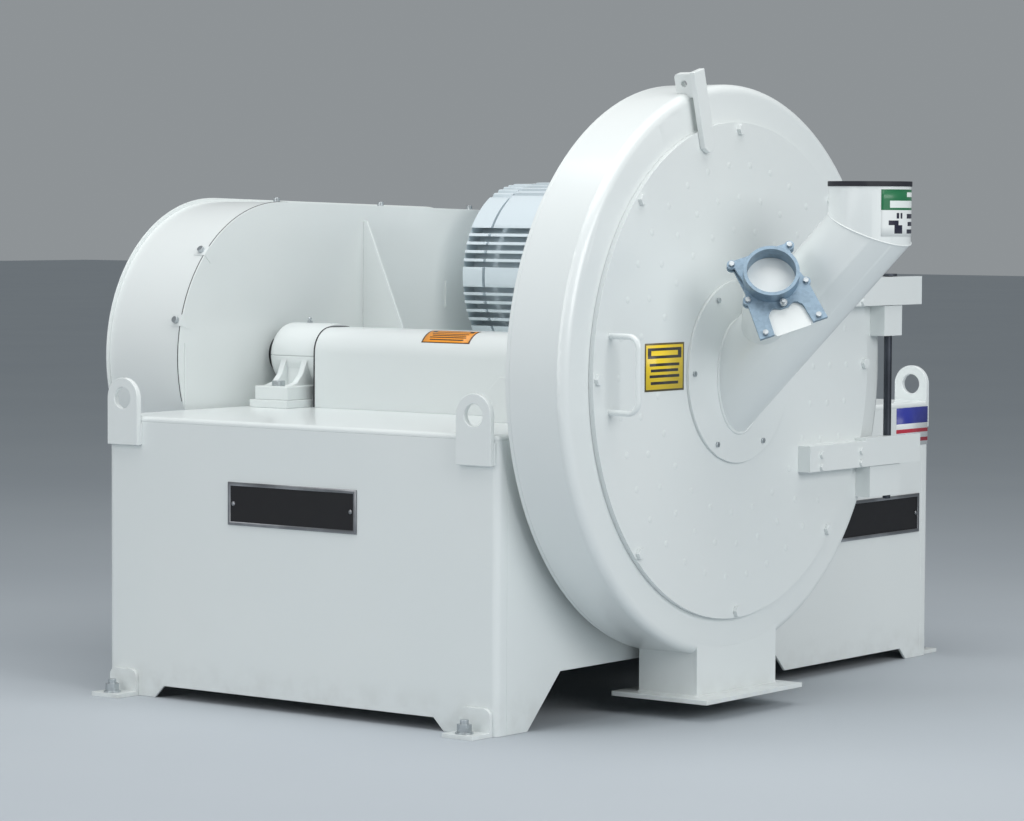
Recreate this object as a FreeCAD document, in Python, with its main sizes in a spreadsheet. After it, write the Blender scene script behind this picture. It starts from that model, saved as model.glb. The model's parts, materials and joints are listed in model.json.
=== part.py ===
"""Centrifugal pin mill on a sheet-metal base, with hinged door, rotor, belt drive and motor.

Frame: +Z up, +X along the base, -Y towards the mill door, origin on the floor under the
middle of the whole machine. Millimetres.
"""
import FreeCAD, Part
import math
import os
import re

import Sketcher
from FreeCAD import Placement, Rotation, Vector

doc = FreeCAD.newDocument("ImpactMill")
sheet = doc.addObject("Spreadsheet::Sheet", "Sizes")

SIZES = {
    # base
    "base_long": 1540, "base_deep": 968, "base_high": 552, "base_front": -320,
    "sheet_thick": 6, "top_thick": 10, "corner_bend": 14, "edge_round": 8, "return_wide": 30,
    "side_gap_high": 24, "chute_gap_high": 102, "leg_wide": 93,
    # lugs, feet, plates
    "lug_wide": 80, "lug_thick": 12, "lug_low": 495, "lug_hole_high": 587, "lug_hole": 21,
    "lug_inset": 48, "clip_wide": 70, "clip_high": 52, "clip_thick": 8, "clip_reach": 60,
    "clip_inset": 10, "stud_radius": 8, "stud_out": 38, "stud_top": 34, "nut_across": 24,
    "nut_thick": 14.6, "washer_radius": 17, "washer_thick": 3,
    "plate_long": 320, "plate_high": 83, "plate_thick": 4,
    # mill housing
    "mill_x": -236, "mill_z": 656, "ring_front": -476.5, "drum_back": -343.5, "drum_radius": 543.5,
    "drum_wall": 8, "ring_open": 450, "drum_round": 18,
    "chute_left": -352, "chute_right": -79, "chute_wall": 6, "chute_low": 43,
    "flange_left": -382, "flange_right": -49, "flange_front": -520, "flange_back": -300,
    "flange_thick": 9, "gusset_thick": 10, "gusset_spread": 230, "gusset_high": 88,
    "gusset_back": -70, "gusset_cut": 25,
    # door
    "door_radius": 472, "door_thick": 10, "door_front": -487, "clamp_circle": 458.6,
    "feed_radius": 175, "feed_thick": 6, "feed_circle": 157,
    "tube_radius": 76.2, "tube_wall": 3, "spout_run": 288, "spout_drop": 15, "inlet_top": 1016,
    "rim_radius": 78, "rim_high": 9.4, "handle_x": -656, "handle_low": 594.5, "handle_high": 733.5,
    "handle_reach": 63, "handle_bar": 5.5,
    "bar_low": 429, "bar_high": 586, "bar_wide": 35, "bar_thick": 12, "bar_lean": 15.5,
    # air stub and slide gate
    "stub_root": 62, "stub_radius": 48, "stub_bore": 45, "gate_out": 241.6, "gate_thick": 6,
    "slide_thick": 3, "collar_high": 27, "collar_radius": 51.5, "gate_turn": 14,
    # hinge
    "pin_x": 297, "pin_y": -498, "pin_radius": 8, "pin_low": 380, "pin_high": 835, "pin_cap": 5,
    "arm_left": -20, "arm_right": 400, "arm_thick": 28, "arm_high": 51, "arm_step": 6,
    "low_arm_z": 451, "high_arm_z": 772, "arm_relief": 6,
    # rotor and bearings
    "shaft_radius": 37.3, "shaft_end": 775, "disc_radius": 432, "disc_front": -435,
    "disc_thick": 20, "rod_radius": 6.35, "rod_long": 30,
    "foot_long": 278, "foot_deep": 89, "foot_thick": 28, "riser_thick": 16,
    "rear_bearing": 566, "front_bearing": -196, "cap_radius": 67, "bearing_reach": 74,
    "insert_radius": 55, "guard_half": 76, "guard_top": 716, "guard_front": -143,
    "guard_back": 503, "guard_wall": 3,
    # belt drive
    "belt_front": 658, "belt_back": 853, "belt_wall": 3, "guard_mill": 318, "guard_motor": 146,
    "motor_x": 490, "motor_z": 812, "mill_wheel": 264, "motor_wheel": 109, "wheel_y": 747,
    "wheel_wide": 50, "belt_thick": 11,
    # motor
    "fin_radius": 209, "core_radius": 165, "fin_pitch": 18.5, "fin_gap": 12,
    "frame_front": 92, "frame_back": 518, "cowl_front": 10, "bell_back": 582, "hub_back": 620,
    "motor_shaft_radius": 27, "slide_high": 57, "running_gap": 0.5,
}
for row, (alias, value) in enumerate(SIZES.items(), start=1):
    sheet.set(f"A{row}", alias.replace("_", " "))
    sheet.set(f"B{row}", str(value))
    sheet.setAlias(f"B{row}", alias)
doc.recompute()

UP = Vector(0, 0, 1)
RIGHT = Vector(1, 0, 0)
BACK = Vector(0, 1, 0)
FORWARD = Vector(0, -1, 0)
PLANE_ROLE = {"XY": "XY_Plane", "XZ": "XZ_Plane", "YZ": "YZ_Plane"}
NORMAL_AXIS = {"XY": "z", "XZ": "y", "YZ": "x"}
nodes = {}


def expr(words):
    """Turn alias words into references to the sheet."""
    return re.sub(r"[a-z_]+", lambda m: f"Sizes.{m[0]}" if m[0] in SIZES else m[0], str(words))


def val(words):
    """Number that an expression gives now."""
    return float(sheet.evalExpression(expr(words)))


def bind(item, **properties):
    for name, words in properties.items():
        item.setExpression(name, expr(words))
    return item


def place(item, at, turn=None):
    """Put an object at three expressions, turned by a fixed rotation."""
    item.Placement = Placement(Vector(*[val(a) for a in at]), turn or Rotation())
    for key, words in zip("xyz", at):
        item.setExpression(f".Placement.Base.{key}", expr(words))
    return item


def box(at, size):
    item = doc.addObject("Part::Box", "Block")
    bind(item, Length=size[0], Width=size[1], Height=size[2])
    return place(item, at)


def cylinder(at, radius, height, along=UP):
    item = doc.addObject("Part::Cylinder", "Round")
    bind(item, Radius=radius, Height=height)
    return place(item, at, Rotation(UP, along))


def hexagon(at, across, height, along=UP):
    item = doc.addObject("Part::Prism", "Hex")
    item.Polygon = 6
    bind(item, Circumradius=f"({across}) / 2 / cos(30)", Height=height)
    return place(item, at, Rotation(UP, along))


def fuse(*parts):
    item = doc.addObject("Part::MultiFuse", "Joined")
    item.Shapes = list(parts)
    item.Refine = True
    return item


def cut(base, *tools):
    item = doc.addObject("Part::Cut", "Trimmed")
    item.Base = base
    item.Tool = tools[0] if len(tools) == 1 else fuse(*tools)
    item.Refine = True
    return item


def group(*parts):
    """Separate solids kept in one node."""
    item = doc.addObject("Part::Compound", "Group")
    item.Links = list(parts)
    return item


def node(label, item):
    item.Label = label
    nodes[label] = item
    return item


def tube(at, outer, inner, height, along=UP):
    return cut(cylinder(at, outer, height, along), cylinder(at, inner, height, along))


def origin_plane(body, plane):
    return next(f for f in body.Origin.OriginFeatures if f.Role == PLANE_ROLE[plane])


def new_sketch(body, plane):
    sketch = body.newObject("Sketcher::SketchObject", "Outline")
    sketch.AttachmentSupport = [(origin_plane(body, plane), "")]
    sketch.MapMode = "FlatFace"
    return sketch


def draw_sharp(sketch, outline):
    """Closed polygon, each corner held by two dimensions that follow the sheet."""
    corners = [Vector(val(p[0]), val(p[1]), 0) for p in outline]
    count = len(corners)
    for i in range(count):
        sketch.addGeometry(Part.LineSegment(corners[i], corners[(i + 1) % count]))
    for i in range(count):
        sketch.addConstraint(Sketcher.Constraint("Coincident", i, 2, (i + 1) % count, 1))
    for i, (point, corner) in enumerate(zip(outline, corners)):
        for kind, words, now in (("DistanceX", point[0], corner.x), ("DistanceY", point[1], corner.y)):
            index = sketch.addConstraint(Sketcher.Constraint(kind, -1, 1, i, 1, now))
            sketch.setExpression(f"Constraints[{index}]", expr(words))


def draw_rounded(sketch, outline, closed=True):
    """Polygon whose corners may carry a third value, the radius of the arc there."""
    points = [Vector(val(p[0]), val(p[1]), 0) for p in outline]
    radii = [val(p[2]) if len(p) > 2 else 0.0 for p in outline]
    count = len(points)
    ends = []
    for i, (corner, radius) in enumerate(zip(points, radii)):
        if radius == 0:
            ends.append((corner, corner, None))
            continue
        before = (points[i - 1] - corner).normalize()
        after = (points[(i + 1) % count] - corner).normalize()
        half = before.getAngle(after) / 2
        reach = radius / math.tan(half)
        middle = corner + (before + after).normalize() * (radius / math.sin(half) - radius)
        ends.append((corner + before * reach, corner + after * reach, middle))
    for i in range(count):
        start, stop, middle = ends[i]
        if middle is not None:
            sketch.addGeometry(Part.Arc(start, middle, stop))
        following = ends[(i + 1) % count][0]
        if (closed or i < count - 1) and (following - stop).Length > 1e-6:
            sketch.addGeometry(Part.LineSegment(stop, following))


def slab(plane, outline, start, thick):
    """Plate cut to an outline, from start to start + thick along the plane's normal axis."""
    body = doc.addObject("PartDesign::Body", "Plate")
    sketch = new_sketch(body, plane)
    draw = draw_rounded if any(len(p) > 2 for p in outline) else draw_sharp
    draw(sketch, outline)
    pad = body.newObject("PartDesign::Pad", "Thickness")
    pad.Profile = sketch
    bind(pad, Length=thick)
    pad.Reversed = plane == "XZ"
    body.setExpression(f".Placement.Base.{NORMAL_AXIS[plane]}", expr(start))
    return body


def turned(profile, at, along):
    """Body of revolution: the profile gives radius and distance along the axis."""
    body = doc.addObject("PartDesign::Body", "Turned")
    sketch = new_sketch(body, "XZ")
    draw = draw_rounded if any(len(p) > 2 for p in profile) else draw_sharp
    draw(sketch, profile)
    spin = body.newObject("PartDesign::Revolution", "Spin")
    spin.Profile = sketch
    spin.ReferenceAxis = (sketch, ["V_Axis"])
    spin.Angle = 360
    return place(body, at, Rotation(UP, along))


def pipe(points, radius, across):
    """Round bar or bore along an open path in the YZ plane, mitred where a corner is sharp."""
    path = doc.addObject("Sketcher::SketchObject", "Path")
    path.Placement = Placement(Vector(across, 0, 0), Rotation(BACK, UP, RIGHT, "ZXY"))
    draw_rounded(path, points, closed=False)
    doc.recompute()
    first = path.Shape.Edges[0]
    circle = doc.addObject("Part::Circle", "Section")
    bind(circle, Radius=radius)
    circle.Placement = Placement(first.valueAt(first.FirstParameter),
                                 Rotation(UP, first.tangentAt(first.FirstParameter)))
    sweep = doc.addObject("Part::Sweep", "Pipe")
    sweep.Sections = [circle]
    sweep.Spine = (path, [f"Edge{i + 1}" for i in range(len(path.Shape.Edges))])
    sweep.Solid = True
    sweep.Transition = "Right corner"
    return sweep


def on_circle(centre, radius, degrees, y):
    """Point round an axis along Y; 0 degrees is +X and 90 degrees is +Z."""
    angle = math.radians(degrees)
    return (f"{centre}_x + ({radius}) * {math.cos(angle):.6f}", y,
            f"{centre}_z + ({radius}) * {math.sin(angle):.6f}")


def mirrored(item):
    """Copy on the other side of the machine's middle plane."""
    twin = doc.addObject("Part::Mirroring", "Twin")
    twin.Source = item
    twin.Normal = RIGHT
    return twin


# ---------------------------------------------------------------- base
BASE_BACK = "base_front + base_deep"
UNDER_TOP = "base_high - top_thick"


def side_panel():
    """Left side: a sheet bent round both corners, with a low gap between its two feet."""
    out, inner = "-base_long / 2", "-base_long / 2 + sheet_thick"
    lip = "-base_long / 2 + return_wide"
    bend, tight = "corner_bend", "corner_bend - sheet_thick"
    sheet_bend = slab("XY", [
        (out, "base_front", bend), (lip, "base_front"), (lip, "base_front + sheet_thick"),
        (inner, "base_front + sheet_thick", tight), (inner, f"{BASE_BACK} - sheet_thick", tight),
        (lip, f"{BASE_BACK} - sheet_thick"), (lip, BASE_BACK), (out, BASE_BACK, bend)], 0, UNDER_TOP)
    gap = slab("YZ", [
        ("base_front + 122", "-1"), ("base_front + 147", "side_gap_high"),
        (f"{BASE_BACK} - 147", "side_gap_high"), (f"{BASE_BACK} - 122", "-1")],
        "-base_long / 2 - 1", "sheet_thick + 20")
    return cut(sheet_bend, gap)


def end_panel(start, gaps):
    """Front or rear panel, butted between the side panels' bent edges."""
    wide = "base_long / 2 - return_wide"
    panel = slab("XZ", [(f"-({wide})", 0), (wide, 0), (wide, UNDER_TOP), (f"-({wide})", UNDER_TOP)],
                 start, "sheet_thick")
    return cut(panel, *[slab("XZ", gap, f"({start}) - 1", "sheet_thick + 2") for gap in gaps])


def base():
    corners = [("-base_long / 2", "base_front", "corner_bend"), ("base_long / 2", "base_front", "corner_bend"),
               ("base_long / 2", BASE_BACK, "corner_bend"), ("-base_long / 2", BASE_BACK, "corner_bend")]
    top = slab("XY", corners, UNDER_TOP, "top_thick")
    doc.recompute()
    pad = top.Tip
    rim = [f"Edge{i + 1}" for i, edge in enumerate(pad.Shape.Edges)
           if edge.BoundBox.ZMin > pad.Shape.BoundBox.ZMax - 1e-3]
    rounding = top.newObject("PartDesign::Fillet", "TopEdge")
    rounding.Base = (pad, rim)
    bind(rounding, Radius="edge_round")
    node("base_top_plate", top)
    left = node("base_left_side", side_panel())
    node("base_right_side", mirrored(left))
    front_gap = [("-base_long / 2 + leg_wide", "-1"), ("-base_long / 2 + leg_wide + chute_gap_high + 1",
                 "chute_gap_high"), ("122", "chute_gap_high"), ("201", "side_gap_high"),
                 ("657", "side_gap_high"), ("682", "-1")]
    node("base_front_panel", end_panel("base_front", [front_gap]))
    rear_gap = [("-653", "-1"), ("-628", "side_gap_high"), ("628", "side_gap_high"), ("653", "-1")]
    node("base_rear_panel", end_panel(f"{BASE_BACK} - sheet_thick", [rear_gap]))
    beams = [box((f"({x}) - 4", "base_front + sheet_thick", f"{UNDER_TOP} - 80"),
                 (8, "base_deep - 2 * sheet_thick", 80)) for x in (-466, "mill_x", -6, 331, 649)]
    node("base_stiffeners", group(*beams))


def corner_places(inset):
    """Distances of the front and rear fittings from the ends of a side panel."""
    return (f"base_front + {inset}", f"{BASE_BACK} - ({inset})")


def base_fittings():
    lugs, clips, studs, nuts = [], [], [], []
    for y in corner_places("lug_inset"):
        half = "lug_wide / 2"
        crown = f"lug_hole_high + {half}"
        blank = slab("YZ", [(f"{y} - {half}", "lug_low"), (f"{y} + {half}", "lug_low"),
                            (f"{y} + {half}", crown, half), (f"{y} - {half}", crown, half)],
                     "-base_long / 2 - lug_thick", "lug_thick")
        lugs.append(cut(blank, cylinder(("-base_long / 2 - lug_thick - 1", y, "lug_hole_high"),
                                        "lug_hole", "lug_thick + 2", RIGHT)))
    for y in corner_places("clip_inset + clip_wide / 2"):
        near, far = f"{y} - clip_wide / 2", f"{y} + clip_wide / 2"
        plate = slab("YZ", [(near, 0), (far, 0), (far, "clip_high", 15), (near, "clip_high", 15)],
                     "-base_long / 2 - clip_thick", "clip_thick")
        foot = box(("-base_long / 2 - clip_reach", near, 0), ("clip_reach - 1", "clip_wide", "clip_thick"))
        stud_x = "-base_long / 2 - stud_out"
        hole = cylinder((stud_x, y, -1), "stud_radius + 1", "clip_thick + 2")
        clips.append(cut(fuse(plate, foot), hole))
        studs.append(cylinder((stud_x, y, 0), "stud_radius", "stud_top"))
        washer = cylinder((stud_x, y, "clip_thick"), "washer_radius", "washer_thick")
        nut = hexagon((stud_x, y, "clip_thick + washer_thick"), "nut_across", "nut_thick")
        bore = cylinder((stud_x, y, "clip_thick - 1"), "stud_radius + 0.05", "nut_thick + 9")
        nuts.append(cut(fuse(washer, nut), bore))
    for label, fittings in (("lifting_lugs", lugs), ("foot_clips", clips), ("anchor_studs", studs),
                            ("anchor_nuts", nuts)):
        node(label, group(*fittings, *[mirrored(item) for item in fittings]))
    left_plate = box(("-base_long / 2 - plate_thick", "base_front + 331", 352),
                     ("plate_thick", "plate_long", "plate_high"))
    front_plate = box((407, "base_front - plate_thick", 272), ("plate_long", "plate_thick", "plate_high"))
    node("nameplates", group(left_plate, front_plate))


# ---------------------------------------------------------------- mill housing
DRUM_DEEP = "drum_back - ring_front"


def drum_solid():
    return turned([(0, 0), ("drum_radius", 0, "drum_round"), ("drum_radius", DRUM_DEEP), (0, DRUM_DEEP)],
                  ("mill_x", "ring_front", "mill_z"), BACK)


def housing():
    wall_deep = f"{DRUM_DEEP} - drum_wall"
    centre = ("mill_x", "ring_front", "mill_z")
    ring = turned([("ring_open", 0), ("drum_radius", 0, "drum_round"), ("drum_radius", "drum_round"),
                   ("drum_radius - drum_wall", "drum_round"),
                   ("drum_radius - drum_wall", "drum_wall", "drum_round - drum_wall"),
                   ("ring_open", "drum_wall")], centre, BACK)
    shell = tube(("mill_x", "ring_front + drum_round", "mill_z"), "drum_radius", "drum_radius - drum_wall",
                 f"{wall_deep} - drum_round", BACK)
    inside = (("chute_left + chute_wall", "ring_front + drum_wall", "chute_low - 20"),
              ("chute_right - chute_left - 2 * chute_wall", f"{wall_deep} - drum_wall", 180))
    node("housing_front_ring", cut(ring, box(*inside)))
    node("housing_shell", cut(shell, box(*inside)))
    back = cylinder(("mill_x", "drum_back - drum_wall", "mill_z"), "drum_radius", "drum_wall", BACK)
    bore = cylinder(("mill_x", "drum_back - drum_wall - 1", "mill_z"), "shaft_radius + 8", "drum_wall + 2",
                    BACK)
    node("housing_back_plate", cut(back, bore))
    seal = tube(("mill_x", "drum_back", "mill_z"), 75, "shaft_radius + running_gap",
                "base_front - drum_back", BACK)
    node("shaft_seal", seal)
    chute = box(("chute_left", "ring_front", "chute_low"),
                ("chute_right - chute_left", DRUM_DEEP, 130))
    node("discharge_chute", cut(chute, box(*inside), drum_solid()))
    plate = box(("flange_left", "flange_front", "chute_low - flange_thick"),
                ("flange_right - flange_left", "flange_back - flange_front", "flange_thick"))
    mouth = box(("chute_left + chute_wall", "ring_front + drum_wall", "chute_low - flange_thick - 1"),
                ("chute_right - chute_left - 2 * chute_wall", f"{wall_deep} - drum_wall", "flange_thick + 2"))
    node("discharge_flange", cut(plate, mouth))
    crown = "base_high + gusset_high"
    outline = [("drum_back", "base_high"), ("gusset_back", "base_high"),
               ("gusset_back", f"{crown} - gusset_cut"), ("gusset_back - gusset_cut", crown),
               ("drum_back", crown)]
    braces = [slab("YZ", outline, f"mill_x + {side} * gusset_spread - gusset_thick / 2", "gusset_thick")
              for side in (-1, 1)]
    guard_brace = slab("YZ", [("belt_front - 178", "base_high"), ("belt_front", "base_high"),
                              ("belt_front", "base_high + 383"), ("belt_front - 10", "base_high + 383")],
                       32, 6)
    node("gusset_plates", group(*braces, guard_brace))


def lean(item):
    """Tilt a piece built above the mill axis to the lock's place on the rim."""
    item.Placement = Placement(Vector(val("mill_x"), item.Placement.Base.y, val("mill_z")),
                               Rotation(BACK, -val("bar_lean")))
    return item


def lock():
    near, far = "ring_front - 8", "ring_front + 32"
    low, top = "drum_radius - 8", "drum_radius + 38"
    lug = slab("YZ", [(near, low), (far, low), (far, top, 8), (near, top, 8)], 0, 14)
    hole = cylinder((-1, "ring_front + 12", "drum_radius + 19"), 6.5, 16, RIGHT)
    turn = Placement(Vector(), Rotation(BACK, -val("bar_lean")))
    blank = cut(lug, hole)
    doc.recompute()
    shift = Placement(Vector(val("mill_x"), 0, val("mill_z")), Rotation())
    blank.Placement = shift * turn * Placement(Vector(-7, 0, 0), Rotation())
    node("lock_lug", cut(blank, drum_solid()))


def knuckle(left, low, high):
    block = box((left, "ring_front - 34", low), (f"330 - ({left})", 34, f"({high}) - ({low})"))
    return cut(block, cylinder(("pin_x", "pin_y", f"({low}) - 1"), "pin_radius", f"({high}) - ({low}) + 2"))


def hinge_posts():
    node("hinge_knuckles", group(knuckle(212, 388, "low_arm_z - 1"), knuckle(262, 710, "high_arm_z - 1")))
    stem = cylinder(("pin_x", "pin_y", "pin_low"), "pin_radius", "pin_high - pin_low - pin_cap")
    head = cylinder(("pin_x", "pin_y", "pin_high - pin_cap"), 17, "pin_cap")
    node("hinge_pin", fuse(stem, head))


# ---------------------------------------------------------------- door
def spout_solid(radius):
    """Round bar along the feed spout: 45 degrees up and out from the door, a mitre, then straight up."""
    elbow_y, elbow_z = "door_front - spout_run", "mill_z - spout_drop + spout_run"
    slope = cylinder(("mill_x", "door_front + 130", "mill_z - spout_drop - 130"), radius,
                     "(spout_run + 130) * sqrt(2) + 100", Vector(0, -1, 1))
    upright = cylinder(("mill_x", elbow_y, f"{elbow_z} - 100"), radius, "inlet_top - mill_z - spout_run + 140")
    beyond = doc.addObject("Part::Box", "MitreSide")
    beyond.Length = beyond.Width = beyond.Height = 600
    beyond.Placement = (Placement(Vector(val("mill_x"), val(elbow_y), val(elbow_z)), Rotation(RIGHT, 22.5)) *
                        Placement(Vector(-300, -300, 0), Rotation()))
    upper = doc.addObject("Part::Common", "Upright")
    upper.Base, upper.Tool = upright, beyond
    return fuse(cut(slope, beyond), upper)


def door():
    bore = spout_solid("tube_radius - tube_wall")
    tube_out = spout_solid("tube_radius")
    blank = cylinder(("mill_x", "door_front", "mill_z"), "door_radius", "door_thick", BACK)
    holes, heads = [], []
    for step in range(8):
        at = on_circle("mill", "clamp_circle", 45 * step, "door_front")
        holes.append(cylinder(at, 6.5, "door_thick + 1", BACK))
        head = hexagon(at, 19, 8, FORWARD)
        heads.append(fuse(head, cylinder(at, 6, "door_thick - 0.5", BACK)))
    node("door_plate", cut(blank, bore, *holes))
    node("door_clamp_bolts", group(*heads))
    plate = cylinder(("mill_x", "door_front - feed_thick", "mill_z"), "feed_radius", "feed_thick", BACK)
    node("feed_plate", cut(plate, bore))
    behind = box(("mill_x - 250", "door_front - feed_thick", "mill_z - 250"), (500, 300, 500))
    above = box(("mill_x - 200", "door_front - spout_run - 200", "inlet_top - rim_high"), (400, 400, 200))
    stub_hole = cylinder(STUB_ROOT, "stub_bore", "gate_out", STUB_AXIS)
    node("feed_spout", cut(tube_out, bore, behind, above, stub_hole))
    node("inlet_rim", tube(("mill_x", "door_front - spout_run", "inlet_top - rim_high"), "rim_radius",
                           "tube_radius - tube_wall", "rim_high"))
    rods = [cylinder(at, "rod_radius", "rod_long", BACK)
            for radius in (392, 330, 269) for at in pin_ring(radius, "door_front + door_thick")]
    node("stator_pins", group(*rods))
    grip = "door_front - handle_reach"
    handle = pipe([("door_front", "handle_low"), (grip, "handle_low", 22), (grip, "handle_high", 22),
                   ("door_front", "handle_high")], "handle_bar", across=val("handle_x"))
    node("door_handle", handle)
    bar = slab("XZ", [("-bar_wide / 2", "bar_low + 12"), ("-bar_wide / 2 + 12", "bar_low"),
                      ("bar_wide / 2 - 12", "bar_low"), ("bar_wide / 2", "bar_low + 12"),
                      ("bar_wide / 2", "bar_high"), ("-bar_wide / 2", "bar_high")],
               "door_front - bar_thick", "bar_thick")
    node("lock_bar", lean(bar))


def pin_ring(radius, y, pitch=72):
    count = int(2 * math.pi * radius / pitch)
    return [on_circle("mill", radius, 360 * k / count, y) for k in range(count)]


def hinge_arm(low):
    rear, front = "door_front", "door_front - arm_thick"
    step = [("arm_left", low), ("arm_right", low), ("arm_right", f"{low} + arm_high + arm_step"),
            (190, f"{low} + arm_high + arm_step"), (190, f"{low} + arm_high"), ("arm_left", f"{low} + arm_high")]
    bar = slab("XZ", step, front, f"({rear}) - ({front})")
    relief = box(("pin_x + 13", "pin_y - arm_relief", f"{low} - 1"), (200, 60, "arm_high + arm_step + 2"))
    bore = cylinder(("pin_x", "pin_y", f"{low} - 1"), "pin_radius + 0.08", "arm_high + arm_step + 2")
    return cut(bar, relief, bore)


def hinge_arms():
    lows = ("low_arm_z", "high_arm_z")
    node("hinge_arms", group(*[hinge_arm(low) for low in lows]))
    heads = [hexagon((x, "door_front - arm_thick", f"{low} + {rise}"), 13, 5, FORWARD)
             for low in lows for x in (22, 170) for rise in (9, 33)]
    node("hinge_arm_bolts", group(*heads))


# ---------------------------------------------------------------- air stub and slide gate
HALF_TURN = math.sqrt(0.5)
STUB_AXIS = Vector(-HALF_TURN, -0.5, 0.5)
STUB_ROOT = ("mill_x", "door_front - stub_root", "mill_z + stub_root")


def gate_frame_turn():
    """Local X across the gate, local Y up its slide, local Z out along the stub."""
    across = Vector(HALF_TURN, -0.5, 0.5)
    down = Vector(0, -HALF_TURN, -HALF_TURN)
    turn = math.radians(val("gate_turn"))
    slide_down = down * math.cos(turn) - across * math.sin(turn)
    return Rotation(-slide_down.cross(STUB_AXIS), -slide_down, STUB_AXIS, "ZXY")


def seat(item, out):
    """Place a piece built in the gate's own frame, its local origin this far along the stub."""
    start = Vector(*[val(a) for a in STUB_ROOT])
    item.Placement = Placement(start + STUB_AXIS * val(out), gate_frame_turn())
    return item


def ear(x, y, radius, height):
    return cylinder((x, y, 0), radius, height)


def gate():
    thick = "gate_thick"
    ears = [(-57, 51), (57, 51), (-57, -29), (57, -29)]
    plate = slab("XY", [(-57, 57), (57, 57), (50, 10), (60, -30), (66, -112), (38, -112), (34, -72, 12),
                        (22, -58, 10), (8, -66, 5), (-8, -66, 5), (-22, -58, 10), (-34, -72, 12), (-38, -112),
                        (-66, -112), (-60, -30), (-50, 10)], 0, thick)
    lobes = [ear(x, y, 9, thick) for x, y in ears]
    neck = tube((0, 0, 0), "collar_radius", "stub_bore", "gate_thick + collar_high")
    front = cut(fuse(plate, *lobes, neck), cylinder((0, 0, -1), "stub_bore", "gate_thick + collar_high + 2"))
    node("gate_frame", seat(front, "gate_out - gate_thick"))
    rear_plate = slab("XY", [(-57, 57), (57, 57), (52, -40), (-52, -40)], 0, 5)
    rear = cut(fuse(rear_plate, *[ear(x, y, 9, 5) for x, y in ears]), cylinder((0, 0, -1), "stub_bore", 7))
    slide = slab("XY", [(-48.5, 49), (48.5, 49), (48.5, -84), (33, -114), (-33, -114), (-48.5, -84)],
                 0, "slide_thick")
    node("gate_slide", seat(group(slide), "gate_out - gate_thick - slide_thick - running_gap"))
    spacers = [cylinder((x, y, 5), 6, "slide_thick + 1") for x, y in ears]
    node("gate_rear_plate", seat(fuse(rear, *spacers), "gate_out - gate_thick - slide_thick - 1 - 5"))
    heads = [hexagon((x, y, 0), 10, 5) for x, y in ears + [(-52, -103), (52, -103)]]
    knob = fuse(cylinder((0, -60, 0), 4, 16), cylinder((0, -60, 6), 7, 6))
    gate_heads = seat(group(*heads, knob), "gate_out")
    plate_heads = [hexagon(on_circle("mill", "feed_circle", 60 * step, "door_front - feed_thick"), 10, 4, FORWARD)
                   for step in range(6)]
    node("door_screws", group(gate_heads, *plate_heads))
    stub = cylinder(STUB_ROOT, "stub_radius", "gate_out - gate_thick - slide_thick - 6", STUB_AXIS)
    stub_bore = cylinder(STUB_ROOT, "stub_bore", "gate_out", STUB_AXIS)
    skin = spout_solid("tube_radius")
    node("air_stub", cut(stub, stub_bore, skin))


# ---------------------------------------------------------------- rotor and bearings
def wheel(label, centre, across, bore):
    """Grooved belt wheel: two rims either side of the belts' track."""
    rim, track = across, f"{across} - belt_thick - 2"
    profile = [(bore, 0), (rim, 0), (rim, 5), (track, 5), (track, "wheel_wide - 5"),
               (rim, "wheel_wide - 5"), (rim, "wheel_wide"), (bore, "wheel_wide")]
    node(label, turned(profile, (f"{centre}_x", "wheel_y - wheel_wide / 2", f"{centre}_z"), BACK))


def rotor():
    node("rotor_shaft", cylinder(("mill_x", "disc_front - disc_thick", "mill_z"), "shaft_radius",
                                 "shaft_end - disc_front + disc_thick", BACK))
    disc = turned([("shaft_radius", 0), ("disc_radius", 0), ("disc_radius", "disc_thick"),
                   (85, "disc_thick"), (85, 75), ("shaft_radius", 75)],
                  ("mill_x", "disc_front", "mill_z"), BACK)
    node("rotor_disc", disc)
    nut = cut(hexagon(("mill_x", "disc_front", "mill_z"), 104, 18, FORWARD),
              cylinder(("mill_x", "disc_front + 1", "mill_z"), "shaft_radius", 20, FORWARD))
    node("rotor_nut", nut)
    rods = [cylinder(at, "rod_radius", "rod_long", FORWARD)
            for radius in (420, 361, 300) for at in pin_ring(radius, "disc_front")]
    node("rotor_pins", group(*rods))
    wheel("mill_sheave", "mill", "mill_wheel", "shaft_radius")


def block(at, half_x, half_y, low, high):
    """Box centred on a plan point between two heights."""
    return box((f"{at[0]} - ({half_x})", f"{at[1]} - ({half_y})", low),
               (f"2 * ({half_x})", f"2 * ({half_y})", f"({high}) - ({low})"))


def pillow_ribs(y):
    """Two curved webs carrying the round housing down to its foot."""
    foot_top = "base_high + riser_thick + foot_thick"
    outline = [(f"mill_x + ({x})", z) for x, z in (
        (-126, f"{foot_top} - 1"), (-98, f"{foot_top} + 7"), (-80, f"{foot_top} + 24"), (-66, "mill_z - 4"),
        (66, "mill_z - 4"), (80, f"{foot_top} + 24"), (98, f"{foot_top} + 7"), (126, f"{foot_top} - 1"))]
    return [slab("XZ", outline, f"{y} + ({middle}) - 7", 14) for middle in (-28, 28)]


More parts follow.
